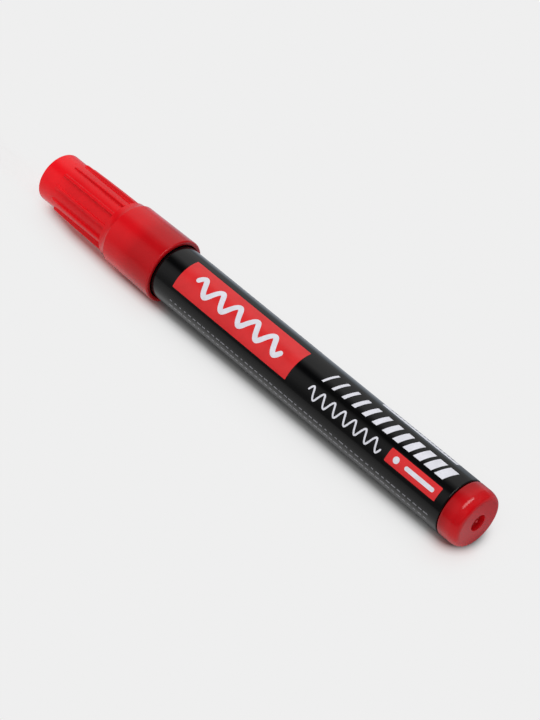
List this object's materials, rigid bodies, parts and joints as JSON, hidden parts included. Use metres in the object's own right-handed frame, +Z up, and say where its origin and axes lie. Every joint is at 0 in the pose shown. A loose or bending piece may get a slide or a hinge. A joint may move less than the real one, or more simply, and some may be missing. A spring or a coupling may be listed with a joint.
{
  "type": "permanent marker",
  "caption": "Slim round permanent marker lying on its side, with a black barrel, a red ribbed pull-off cap over a bullet nib and a red end plug.",
  "frame": {"origin": "on the resting surface, under the middle of the marker's length and width", "axes": "+X along the marker's axis towards the end plug, -X towards the cap, +Z up"},
  "size_m": [0.1402, 0.0164, 0.0165],
  "materials": {
    "barrel_black": "glossy black moulded plastic with a printed label",
    "plug_red": "satin red moulded plastic",
    "nose_black": "satin black moulded plastic",
    "nib_fibre": "ink-soaked bonded fibre",
    "reservoir_fibre": "ink-soaked fibre rod",
    "film_clear": "thin plastic film",
    "cap_red": "glossy red moulded plastic",
    "liner_natural": "natural polyethylene"
  },
  "bodies": {
    "marker": {"barrel_tube": "barrel_black", "end_plug": "plug_red", "nose_section": "nose_black", "fibre_nib": "nib_fibre", "ink_reservoir": "reservoir_fibre", "reservoir_film": "film_clear"},
    "cap": {"cap_shell": "cap_red", "cap_liner": "liner_natural"}
  },
  "joints": [
    {"name": "cap_pull", "type": "slide", "parent": "marker", "child": "cap", "axis": [-1, 0, 0], "range_m": [0, 0.05]}
  ]
}
